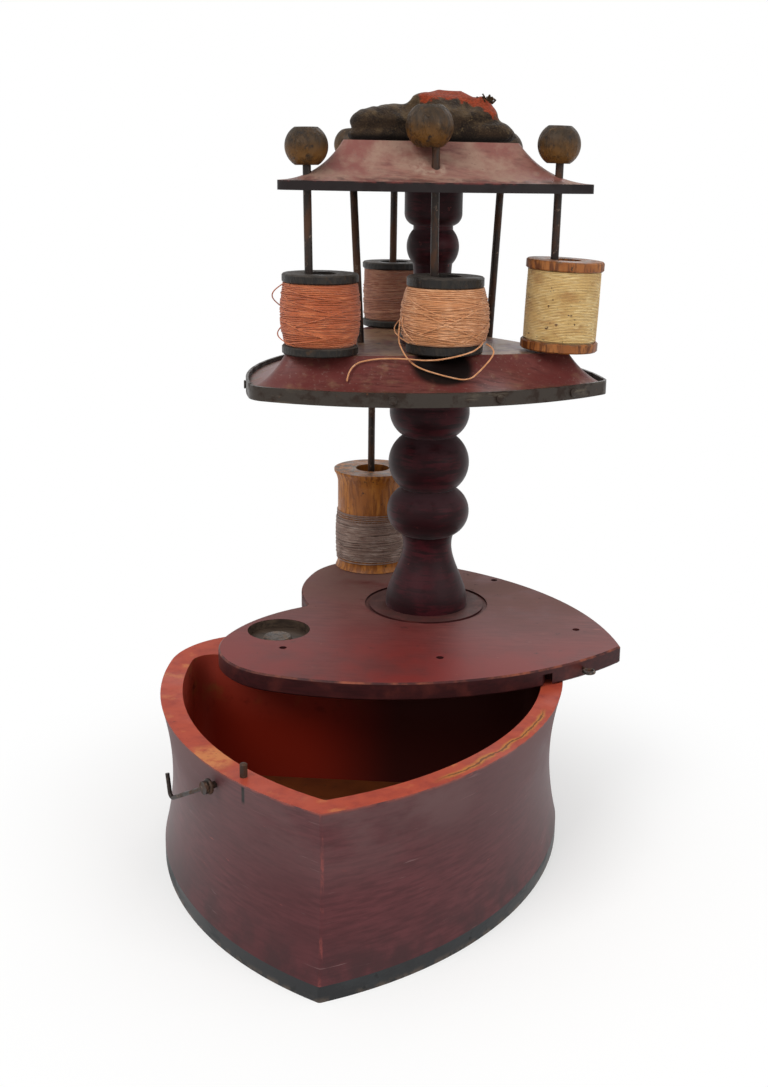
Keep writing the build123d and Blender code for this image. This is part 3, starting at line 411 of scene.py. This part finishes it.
# Worn wool and velvet pile over a stuffed core: painted shade in brown-black along its foot where
# the folds tuck under, olive where the nap is rubbed, with one red patch along the crown.
def cushion_cloth(base_level, crown):
    material, tree, shader, place = start("worn_wool_cloth", 0.95, sheen=0.15, specular=0.12)
    x, _, z = add(tree, "ShaderNodeSeparateXYZ", {0: place}, out=ALL)
    nz = facing(tree)[2]
    weave = add(tree, "ShaderNodeTexNoise", {"Vector": place, "Scale": 1 / (0.6 * MM), "Detail": 3.0})
    nap = patches(tree, place, 7, 0.42, 0.62)
    worn = both(tree, zone(tree, nz, -0.1, 0.8), patches(tree, place, 6, 0.44, 0.62, shift=0.3))
    edge = patches(tree, place, 4, 0.2, 0.8, detail=3.0, shift=0.15)
    ragged = add(tree, "ShaderNodeMath", {0: edge, 1: 0.003, 2: -0.0015}, operation="MULTIPLY_ADD")
    high = add(tree, "ShaderNodeMath", {0: z, 1: ragged}, operation="ADD")
    along = add(tree, "ShaderNodeMath", {0: x, 1: ragged}, operation="ADD")
    # the patch follows an arch: its lower edge sinks away from the crown on both sides
    patch_middle, arch = 0.0235, 22.0
    aside = add(tree, "ShaderNodeMath", {0: x, 1: patch_middle}, operation="SUBTRACT")
    aside = add(tree, "ShaderNodeMath", {0: aside, 1: aside}, operation="MULTIPLY")
    arched = add(tree, "ShaderNodeMath", {0: aside, 1: arch, 2: high}, operation="MULTIPLY_ADD")
    red = both(tree, zone(tree, arched, crown - 0.0046, crown - 0.0038),
               zone(tree, along, 0.0125, 0.0140), zone(tree, along, 0.0424, 0.0410))
    patch = coats(tree, "74290f", (patches(tree, place, 0.9, 0.4, 0.65), "93391c"))
    threads = add(tree, "ShaderNodeMapRange", {
        "Value": weave, "From Min": 0.5, "From Max": 0.7, "To Max": 0.2})
    # painted contact shade: near black low on the cloth, where it meets the seat
    painted_contact_shade = zone(tree, z, base_level + 0.0034, base_level + 0.0008)
    base = coats(
        tree, "32251a", (nap, "1f1610"), (worn, "4f3e2a"), (patches(tree, place, 2, 0.6, 0.72), "5e4d35"),
        (red, patch), (threads, "6d5a40"), (painted_contact_shade, "140e0a"))
    finish(tree, shader, base, weave, 0.4)
    return material


# Loosened dark wool, matt.
def wool_tuft():
    material, tree, shader, place = start("loose_dark_wool", 0.95, specular=0.1)
    finish(tree, shader, coats(tree, "241a14", (patches(tree, place, 1, 0.4, 0.6), "4a3826")))
    return material


# Pieces

def piece(name, mesh, material, body):
    """A new object of the visual model that rides on a CAD body."""
    made = bpy.data.objects.new(name, mesh)
    bpy.context.scene.collection.objects.link(made)
    mesh.materials.clear()
    mesh.materials.append(material)
    for face in mesh.polygons:
        face.use_smooth = True
    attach(made, body)
    return made


def strand_mesh(runs, thickness):
    """Round threads along lists of points, as one mesh."""
    line = bpy.data.curves.new("strand", "CURVE")
    line.dimensions = "3D"
    line.bevel_depth = thickness / 2
    line.bevel_resolution = 1
    line.use_fill_caps = True
    for points in runs:
        spline = line.splines.new("POLY")
        spline.points.add(len(points) - 1)
        for point, place in zip(spline.points, points):
            point.co = (*place, 1.0)
    made = bpy.data.objects.new("strand", line)
    bpy.context.scene.collection.objects.link(made)
    mesh = bpy.data.meshes.new_from_object(made.evaluated_get(bpy.context.evaluated_depsgraph_get()))
    bpy.data.objects.remove(made)
    return mesh


# Points of each turn, and how the turns of a winding wander up and down
TURN_STEPS = 40
WANDER, WANDER_START = 1.07, 9000
# How far the close turns sink into the outline, and the crossing ones stand on it
SUNK, LAID_ON = 0.00012, 0.00012


class Winding:
    """Thread wound on a spool: heights over the spool's foot, radii of its outline."""

    def __init__(self, joint, low, high, radii, fullest):
        self.origin = Vector(joint["pos_m"])
        self.up = Vector(joint["axis"]).normalized()
        self.side = Vector((1, 0, 0)) - self.up * self.up.x
        self.side.normalize()
        self.across = self.up.cross(self.side)
        self.low, self.high = low * MM, high * MM
        self.radii, self.fullest = [r * MM for r in radii], fullest

    def radius(self, height):
        """Radius of the outline at a height, through its three given places."""
        share = (height - self.low) / (self.high - self.low)
        foot, full, head = self.radii
        if share < self.fullest:
            part = 1 - share / self.fullest
            return full + (foot - full) * part * part
        part = (share - self.fullest) / (1 - self.fullest)
        return full + (head - full) * part * part

    def at(self, turn, height, lift=0.0):
        """Place on the winding at a turn in radians and a height."""
        reach = self.radius(height) + lift
        outward = self.side * math.cos(turn) + self.across * math.sin(turn)
        return self.origin + self.up * height + outward * reach

    def laid(self, low, high, pitch, lift, turn=0.0, wobble=0.0):
        """Turns laid side by side from one height to another, their heights wandering by wobble."""
        count = max(2, int(abs(high - low) / pitch * TURN_STEPS))
        points = []
        for i in range(count + 1):
            share = i / count
            angle = turn + 2 * math.pi * i / TURN_STEPS
            height = low + (high - low) * share
            at_ends = min(1.0, 6 * share, 6 - 6 * share)
            height += wobble * math.sin(angle * WANDER + low * WANDER_START) * at_ends
            height = min(max(height, self.low), self.high)
            points.append(self.at(angle, height, lift))
        return points

    def close(self, pitch, wobble, sink=SUNK):
        """Close turns over the whole height."""
        return self.laid(self.low + 0.0004, self.high - 0.0003, pitch, -sink, wobble=wobble)

    def crossing(self, count, lows, highs, pitches, wobble, lift=LAID_ON, swapped=True):
        """Open turns across the others, each between two random heights, some of them downwards."""
        made = []
        for _ in range(count):
            low, high = chance.uniform(*lows), chance.uniform(*highs)
            if swapped and chance.random() >= 0.5:
                low, high = high, low
            pitch = chance.uniform(*pitches)
            made.append(self.laid(low, high, pitch, lift, chance.uniform(0, 6.28), wobble))
        return made

    def core(self, sink):
        """Closed body of the winding, a little under its outer turns."""
        bm = bmesh.new()
        rows = 14
        outline = [bm.verts.new(self.origin + self.up * self.low)]
        for i in range(rows + 1):
            height = self.low + (self.high - self.low) * i / rows
            outline.append(bm.verts.new(self.at(0.0, height, -sink)))
        outline.append(bm.verts.new(self.origin + self.up * self.high))
        edges = [bm.edges.new(pair) for pair in zip(outline, outline[1:])]
        bmesh.ops.spin(bm, geom=outline + edges, cent=self.origin, axis=self.up, dvec=(0, 0, 0),
                       angle=2 * math.pi, steps=64, use_merge=True, use_duplicate=False)
        bmesh.ops.remove_doubles(bm, verts=bm.verts, dist=0.00001)
        bmesh.ops.recalc_face_normals(bm, faces=bm.faces)
        mesh = bpy.data.meshes.new("core")
        bm.to_mesh(mesh)
        bm.free()
        return mesh


def stray(winding, turns, heights, reach):
    """A slack bight that stands off the winding by up to reach and comes back to it."""
    points = []
    steps = 24
    for i in range(steps + 1):
        share = i / steps
        turn = turns[0] + (turns[1] - turns[0]) * share
        height = heights[0] + (heights[1] - heights[0]) * share
        points.append(winding.at(math.radians(turn), height * MM, reach * MM * math.sin(math.pi * share)))
    return points


def wound(name, body, material, winding, thickness, sink, runs, over=(), light=None):
    """The thread of one spool, in place of its CAD node; light is a lighter copy of its finish for the
    turns in over, painted light on the bights that stand off the winding.
    """
    bm = bmesh.new()
    bm.from_mesh(winding.core(sink * MM))
    bm.from_mesh(strand_mesh(runs, thickness * MM))
    if over:
        laid_before = len(bm.faces)
        bm.from_mesh(strand_mesh(over, thickness * MM))
        bm.faces.ensure_lookup_table()
        for face in bm.faces[laid_before:]:
            face.material_index = 1
    mesh = bpy.data.meshes.new(name)
    bm.to_mesh(mesh)
    bm.free()
    made = piece(name, mesh, material, body)
    if over:
        mesh.materials.append(light)
    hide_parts(body.replace("_bobbin", "_thread"))
    return made


# The thread is about 0.3 mm thick in life and is drawn thicker, so that its turns show.
THREAD, COARSE_THREAD = 0.46, 0.55

left = Winding(joints["left_spin"], 3.2, 26.0, (13.0, 14.5, 13.6), 0.5)
runs = [left.close(0.00062, 0.0003)]
runs += left.crossing(9, (0.004, 0.012), (0.018, 0.0255), (0.003, 0.008), 0.0006)
over = [stray(left, *bight) for bight in (
    ((200, 182), (25.5, 17.0), 3.2), ((188, 236), (9.5, 3.6), 2.4), ((215, 300), (4.2, 7.5), 1.2),
    ((200, 330), (22.0, 14.0), 0.4), ((340, 215), (19.0, 9.0), 0.4), ((210, 300), (13.0, 6.0), 0.4),
    ((215, 345), (24.0, 19.0), 0.4))]
# the bights are drawn in a lighter copy of the orange cotton: painted highlight
wound("left_wound_thread", "left_bobbin",
      cotton("orange_cotton", "c57348", "ab5833", "763419"), left, THREAD, 0.35, runs, over,
      cotton("orange_cotton_painted_highlight", "d98b5e", "c67044", "9c4e2a"))

front = Winding(joints["front_spin"], 3.8, 24.4, (15.0, 16.5, 14.4), 0.4)
runs = [front.close(0.00062, 0.0005)]
runs += front.crossing(16, (0.0045, 0.011), (0.014, 0.0235), (0.005, 0.016), 0.0009)
over = [stray(front, *bight) for bight in (
    ((186, 214), (12.0, 4.0), 3.0), ((205, 232), (14.0, 4.2), 1.8), ((230, 322), (7.0, 17.5), 0.6),
    ((326, 226), (6.0, 18.0), 0.6), ((222, 340), (15.5, 19.5), 0.5), ((345, 200), (14.0, 16.5), 0.5),
    ((205, 300), (9.5, 5.5), 0.5), ((300, 350), (5.0, 12.0), 0.5), ((212, 290), (21.0, 13.0), 0.5),
    ((250, 350), (11.0, 9.0), 0.5))]
peach = cotton("peach_cotton", "dba67c", "c48658", "8e5532")
# the bights are drawn in a lighter copy of the peach cotton: painted highlight
wound("front_wound_thread", "front_bobbin", peach, front, THREAD, 0.35, runs, over,
      cotton("peach_cotton_painted_highlight", "ecc09a", "dea77c", "b9794f"))

rear = Winding(joints["rear_spin"], 2.8, 24.4, (12.4, 12.9, 12.6), 0.4)
runs = [rear.close(0.00062, 0.0003)]
runs += rear.crossing(5, (0.004, 0.01), (0.016, 0.024), (0.004, 0.009), 0.0005, swapped=False)
wound("rear_wound_thread", "rear_bobbin",
      cotton("pink_cotton", "b07d62", "96604a", "693b2a"), rear, THREAD, 0.35, runs)

right = Winding(joints["right_spin"], 3.6, 30.1, (13.75, 13.85, 13.75), 0.5)
wound("right_wound_thread", "right_bobbin",
      cotton("cream_cotton", "e2c890", "cfac6e", "a5854c", spots="4e301c", fade="b98f56"),
      right, THREAD, 0.3, [right.close(0.00056, 0.0001, sink=0.0001)])

lower = Winding(joints["lower_spin"], 3.6, 26.3, (15.7, 16.0, 15.5), 0.5)
runs = []
for low, high, pitch in ((3.8, 9.5, 0.8), (9.9, 15.0, 1.0), (14.0, 19.5, 0.7), (19.0, 25.8, 0.9)):
    runs.append(lower.laid(low * MM, high * MM, pitch * MM, -0.0001, chance.uniform(0, 6.28), 0.0004))
runs += lower.crossing(
    7, (0.004, 0.016), (0.009, 0.026), (0.0015, 0.004), 0.0007, lift=0.0001, swapped=False)
wound("lower_wound_thread", "lower_bobbin",
      cotton("grey_cotton", "9c867a", "7a6054", "4a2f22"), lower, COARSE_THREAD, 0.45, runs)

# Pincushion

seat_low, seat_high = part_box("pincushion")
# How far the filling can push the cloth out, and how much wider it hangs than its filling
CLOTH_SWELL = 0.0022
CLOTH_SPREAD = (1.12, 1.02, 0.96)
VOXEL = 0.0014
# Creases of the cushion: how far a place is from each, its width and its depth
CREASES = (
    (lambda place: place.x - 0.0050 + 0.5 * (place.z - seat_high.z), 0.0030, 0.0017),
    (lambda place: place.z - seat_low.z - 0.0050 + 0.10 * abs(place.x - 0.002)
     if place.x < 0.014 else 0.02, 0.0020, 0.0025),
    (lambda place: place.x - 0.0345 - 0.5 * (place.z - seat_high.z), 0.0024, 0.0015),
    (lambda place: place.z - seat_low.z - 0.0060 - 0.2 * (place.x - 0.030)
     if place.x > 0.026 else 0.02, 0.0018, 0.0012),
    (lambda place: place.y - 0.104 - 0.3 * (place.x - 0.02), 0.0034, 0.0011),
    # two lobes, pressed outwards: the left shoulder and the low right end
    (lambda place: math.hypot(place.x + 0.0065, place.z - seat_low.z - 0.0085), 0.0085, -0.0021),
    (lambda place: math.hypot(place.x - 0.0430, place.z - seat_low.z - 0.0040), 0.0075, -0.0014),
)


def stuffed(source):
    """The cushion's cloth, swollen over its filling by a short cloth simulation."""
    mesh = source.data.copy()
    bm = bmesh.new()
    bm.from_mesh(mesh)
    bmesh.ops.remove_doubles(bm, verts=bm.verts, dist=0.00002)
    middle = (seat_low + seat_high) / 2
    middle.z = seat_low.z
    bmesh.ops.transform(
        bm, matrix=Matrix.Translation(middle) @ Matrix.Diagonal((*CLOTH_SPREAD, 1.0))
        @ Matrix.Translation(-middle), verts=bm.verts)
    bm.to_mesh(mesh)
    bm.free()
    made = piece("pincushion_cloth", mesh, cushion_cloth(seat_low.z, seat_high.z), "lid")
    bpy.context.view_layer.objects.active = made
    remesh = made.modifiers.new("voxels", "REMESH")
    remesh.mode = "VOXEL"
    remesh.voxel_size = VOXEL
    bpy.ops.object.modifier_apply(modifier=remesh.name)
    rest = [vertex.co.copy() for vertex in made.data.vertices]
    cloth = made.modifiers.new("cloth", "CLOTH")
    cloth.settings.use_pressure = True
    cloth.settings.uniform_pressure_force = 4.0
    cloth.settings.effector_weights.gravity = 0.0
    cloth.settings.quality = 5
    scene = bpy.context.scene
    for step in range(1, 21):
        scene.frame_set(step)
    moved = made.evaluated_get(bpy.context.evaluated_depsgraph_get()).to_mesh()
    for vertex, soft, start_at in zip(made.data.vertices, moved.vertices, rest):
        travel = soft.co - start_at
        if travel.length > CLOTH_SWELL:
            travel *= CLOTH_SWELL / travel.length
        vertex.co = start_at + travel
    made.modifiers.remove(cloth)
    scene.frame_set(1)
    for vertex in made.data.vertices:
        up = max(0.0, vertex.co.z - seat_low.z)
        soft = min(1.0, up / 0.004)
        lumps = noise.noise(vertex.co * 80) * 0.0008 + noise.noise(vertex.co * 300) * 0.00015
        puckers = noise.noise(Vector((vertex.co.x * 60, vertex.co.y * 60, vertex.co.z * 240))) * 0.0005
        sunk = sum(depth * math.exp(-(away(vertex.co) / width) ** 2) for away, width, depth in CREASES)
        vertex.co += vertex.normal * (lumps + puckers - sunk) * soft
        vertex.co.z = max(vertex.co.z, seat_low.z)
    finer = made.modifiers.new("finer", "SUBSURF")
    finer.levels = finer.render_levels = 1
    bpy.ops.object.modifier_apply(modifier=finer.name)
    for face in made.data.polygons:
        face.use_smooth = True
    return made


cushion = stuffed(nodes["pincushion"])
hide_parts("pincushion")

# A dark tuft of loosened wool at the right shoulder of the cushion
TUFT_HAIRS, HAIR_THICKNESS, HAIR_DEPTH = 40, 0.0006, 0.0012
TUFT_ABOVE = Vector((0.0385, 0.0945, 0.300))
_, root, _, _ = cushion.ray_cast(TUFT_ABOVE, Vector((0, 0, -1)))
hairs = []
for _ in range(TUFT_HAIRS):
    side = Vector((chance.uniform(-1, 1), chance.uniform(-1, 1), 0)) * 0.0016
    lean = Vector((chance.uniform(-1, 1), chance.uniform(-1, 0.4), chance.uniform(0.6, 1.6))).normalized()
    bend = Vector((chance.uniform(-1, 1), chance.uniform(-1, 1), chance.uniform(-0.6, 0.2))) * 0.0011
    reach = chance.uniform(0.0016, 0.0036)
    foot = root + side - Vector((0, 0, HAIR_DEPTH))
    hairs.append([foot, foot + lean * reach * 0.5 + bend * 0.3, foot + lean * reach + bend])
piece("cushion_tuft", strand_mesh(hairs, HAIR_THICKNESS), wool_tuft(), "lid")

# Loose threads

# Points of each thread in millimetres, as in the part's source
LOOSE_THREADS = {
    "loose_end": (
        (-8.0, 45.0, 167.1), (-8.1, 52.2, 171.9), (0.9, 55.8, 173.9), (11.8, 56.5, 174.0),
        (21.0, 55.6, 173.5), (30.0, 56.0, 175.1), (38.2, 60.0, 177.3), (39.8, 64.1, 179.7)),
    "loose_loop": (
        (9.0, 65.6, 186.5), (8.4, 62.4, 180.7), (10.3, 60.0, 176.5), (13.4, 57.4, 172.8),
        (17.5, 55.4, 170.6), (26.9, 53.8, 168.3), (35.2, 53.0, 167.0), (39.4, 55.8, 170.5),
        (44.4, 60.0, 176.1), (43.0, 63.0, 178.5), (41.0, 64.5, 179.1)),
}
# Thinner than their solids, which carry the least thickness that packs well
CORD_THICKNESS = 0.0006

for name, points in LOOSE_THREADS.items():
    line = bpy.data.curves.new(name + "_thread", "CURVE")
    line.dimensions = "3D"
    line.bevel_depth = CORD_THICKNESS / 2
    line.bevel_resolution = 3
    line.use_fill_caps = True
    spline = line.splines.new("NURBS")
    spline.points.add(len(points) - 1)
    for point, place in zip(spline.points, points):
        point.co = (*(value * MM for value in place), 1.0)
    spline.order_u = 3
    spline.use_endpoint_u = True
    spline.resolution_u = 12
    line.materials.append(peach)
    thread = bpy.data.objects.new(name + "_thread", line)
    bpy.context.scene.collection.objects.link(thread)
    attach(thread, "lid")
    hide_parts(name)

# Finishes of the CAD nodes

dress("box_body", box_paint())
dress("base_board", foot_paint())


def middle_of(name):
    """Middle of a CAD node's box."""
    low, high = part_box(name)
    return (low + high) / 2


dress("lid", lid_paint(middle_of("lower_post")))


def worn_ring(tree, place):
    """Paint worn pale round the front spindle's hole in the roof."""
    knob_middle, hole_level = middle_of("front_knob"), 0.2400
    hole = (knob_middle.x, knob_middle.y, hole_level)
    ring = both(tree, spot(tree, place, hole, 0.0022, 0.0034), spot(tree, place, hole, 0.0078, 0.0052),
                patches(tree, place, 2.5, 0.42, 0.62))
    return ((ring, "a08474"),)


def spool_painted_shadow(tree, place):
    """Painted shadow of the front spool: a near-black patch on the slope in front of the spool's foot."""
    spool_middle, in_front, slope_level = middle_of("front_spool"), 0.011, 0.1700
    middle = (spool_middle.x, spool_middle.y - in_front, slope_level)
    painted_shadow = both(tree, spot(tree, place, middle, 0.0135, 0.0095), patches(tree, place, 8, 0.12, 0.4))
    return ((painted_shadow, "0f0706"),)


# the mid tier's slope carries the painted shadow of the front spool
dress("mid_tier", tier_paint(
    "mid_tier_paint", MID_UNDER, MID_TOP, "5e2b28", "6b3b36", "4a2321", "86664d", "281213", "4a3826",
    0.56, spool_painted_shadow))
dress("top_tier", tier_paint(
    "roof_paint", ROOF_UNDER, ROOF_TOP, "7c4a43", "8c6054", "6a403a", "967868", "160c0c", "5c4038",
    0.39, worn_ring))
wire, knob = rusted_wire(), knob_wood()
for name in nodes:
    if name.endswith("_spindle"):
        dress(name, wire)
    if name.endswith("_knob"):
        dress(name, knob)
for material, names in (
        (post_paint(), ("lower_post", "upper_post")),
        (wire, ("base_nails", "rim_pin", "hook_nail", "lid_hook", "lid_eye")),
        (black_stain(), ("left_spool", "front_spool", "rear_spool")),
        (hoop_iron(), ("tier_band", "band_nails"))):
    for name in names:
        dress(name, material)
dress("pivot_peg", turned_birch("peg_birch", "574639", "43362c", "2a201a", 0.5))
dress("right_spool", turned_birch("spool_birch", "9a6030", "844c22", "5a3016", 0.45))
dress("lower_spool", turned_birch("bobbin_birch", "a96a2a", "935620", "7c4618", 0.36))

# Floor, light and camera

def seen_white(tree):
    """One for the rays that show the backdrop: the camera's, a reflection's and those through glass."""
    seen = add(tree, "ShaderNodeLightPath", out="Is Camera Ray")
    for kind in ("Is Glossy Ray", "Is Transmission Ray"):
        seen = add(tree, "ShaderNodeMath", {0: seen, 1: add(tree, "ShaderNodeLightPath", out=kind)},
                   operation="MAXIMUM")
    return seen


def pale_ground():
    """Matt white paper that fades into the white backdrop away from the stand."""
    material, tree, shader, place = start("pale_paper", 0.9, specular=0.1)
    shader.inputs["Base Color"].default_value = colour("f8f7f5")
    seen = seen_white(tree)
    under_stand = (0.01, 0.03, 0.0)
    away = add(tree, "ShaderNodeVectorMath", {0: place, 1: under_stand}, out=1, operation="DISTANCE")
    fade = add(tree, "ShaderNodeMapRange", {
        "Value": away, "From Min": 0.06, "From Max": 0.19, "To Min": 0.45, "To Max": 1.0},
        interpolation_type="SMOOTHSTEP")
    glow = add(tree, "ShaderNodeEmission", {"Color": colour("ffffff"), "Strength": 1.0})
    mixed = add(tree, "ShaderNodeMixShader", {0: both(tree, seen, fade), 1: shader.outputs[0], 2: glow})
    tree.links.new(mixed, tree.nodes["Material Output"].inputs["Surface"])
    return material


bm = bmesh.new()
bmesh.ops.create_grid(bm, x_segments=1, y_segments=1, size=6.0)
ground_mesh = bpy.data.meshes.new("ground")
bm.to_mesh(ground_mesh)
bm.free()
ground = bpy.data.objects.new("ground", ground_mesh)
bpy.context.scene.collection.objects.link(ground)
ground_mesh.materials.append(pale_ground())

world = bpy.data.worlds.new("studio")
world.use_nodes = True
sky = world.node_tree
lamp_sky = sky.nodes["Background"]
lamp_sky.inputs["Color"].default_value = colour("ffffff")
lamp_sky.inputs["Strength"].default_value = 0.55
white = add(sky, "ShaderNodeBackground", {"Color": colour("ffffff"), "Strength": 1.0})
mixed = add(sky, "ShaderNodeMixShader", {0: seen_white(sky), 1: lamp_sky.outputs[0], 2: white})
sky.links.new(mixed, sky.nodes["World Output"].inputs["Surface"])
bpy.context.scene.world = world


def lamp(name, place, aim, size, watts):
    """A square soft box that looks at a point."""
    light = bpy.data.lights.new(name, "AREA")
    light.shape = "SQUARE"
    light.size = size
    light.energy = watts
    made = bpy.data.objects.new(name, light)
    made.location = place
    made.rotation_euler = (Vector(aim) - Vector(place)).to_track_quat("-Z", "Y").to_euler()
    bpy.context.scene.collection.objects.link(made)


MIDDLE = (0.02, 0.05, 0.12)
lamp("key", (-0.7, -0.9, 1.3), MIDDLE, 0.9, 14.0)
lamp("fill", (1.1, -0.7, 0.9), MIDDLE, 0.9, 7.0)
lamp("back", (0.3, 1.3, 1.1), (0.02, 0.05, 0.15), 0.8, 4.0)

ahead = Vector((math.cos(CAMERA_HEADING), math.sin(CAMERA_HEADING), 0))
level_right = Vector((ahead.y, -ahead.x, 0))
forward = ahead * math.cos(CAMERA_PITCH) - Vector((0, 0, math.sin(CAMERA_PITCH)))
upward = ahead * math.sin(CAMERA_PITCH) + Vector((0, 0, math.cos(CAMERA_PITCH)))
right_axis = level_right * math.cos(CAMERA_ROLL) + upward * math.sin(CAMERA_ROLL)
up_axis = upward * math.cos(CAMERA_ROLL) - level_right * math.sin(CAMERA_ROLL)
lens = bpy.data.cameras.new("camera")
lens.lens = CAMERA_LENS
lens.shift_x, lens.shift_y = CAMERA_SHIFT
lens.clip_start = 0.01
camera = bpy.data.objects.new("camera", lens)
camera.matrix_world = Matrix((
    (right_axis.x, up_axis.x, -forward.x, CAMERA_PLACE[0]),
    (right_axis.y, up_axis.y, -forward.y, CAMERA_PLACE[1]),
    (right_axis.z, up_axis.z, -forward.z, CAMERA_PLACE[2]),
    (0, 0, 0, 1)))
bpy.context.scene.collection.objects.link(camera)
bpy.context.scene.camera = camera
bpy.context.scene.view_settings.view_transform = "Standard"
